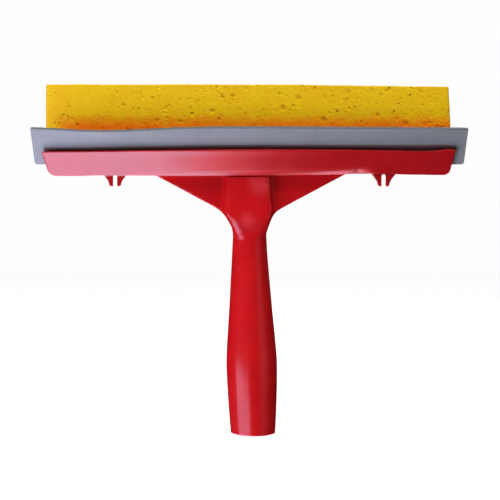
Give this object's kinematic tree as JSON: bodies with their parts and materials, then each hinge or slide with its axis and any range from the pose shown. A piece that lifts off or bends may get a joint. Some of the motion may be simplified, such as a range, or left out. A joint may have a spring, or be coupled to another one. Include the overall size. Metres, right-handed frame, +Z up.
{
  "type": "window cleaning squeegee",
  "caption": "Hand-held window squeegee: moulded T handle with a pole socket, a clamped rubber blade and a sponge bar behind it.",
  "frame": {"origin": "middle of the object's footprint at the level of the handle's open rim; the handle's axis meets it within 2.2 mm", "axes": "+X along the blade, +Z up along the handle towards the head, -Y towards the blade's side and +Y towards the sponge's side"},
  "size_m": [0.2506, 0.0548, 0.2072],
  "materials": {
    "red_plastic": "glossy red moulded polypropylene",
    "grey_rubber": "matt grey rubber strip",
    "yellow_sponge": "open-pored yellow foam"
  },
  "bodies": {
    "head_and_handle": {"handle_frame": "red_plastic", "front_jaw": "red_plastic"},
    "blade": {"rubber_blade": "grey_rubber"},
    "sponge_unit": {"sponge_tray": "red_plastic", "sponge": "yellow_sponge"}
  },
  "joints": [
    {"name": "blade_slide", "type": "slide", "parent": "head_and_handle", "child": "blade", "axis": [1, 0, 0], "range_m": [-0.25, 0.25]},
    {"name": "sponge_lift", "type": "slide", "parent": "head_and_handle", "child": "sponge_unit", "axis": [0, 0, 1], "range_m": [0, 0.03]}
  ]
}
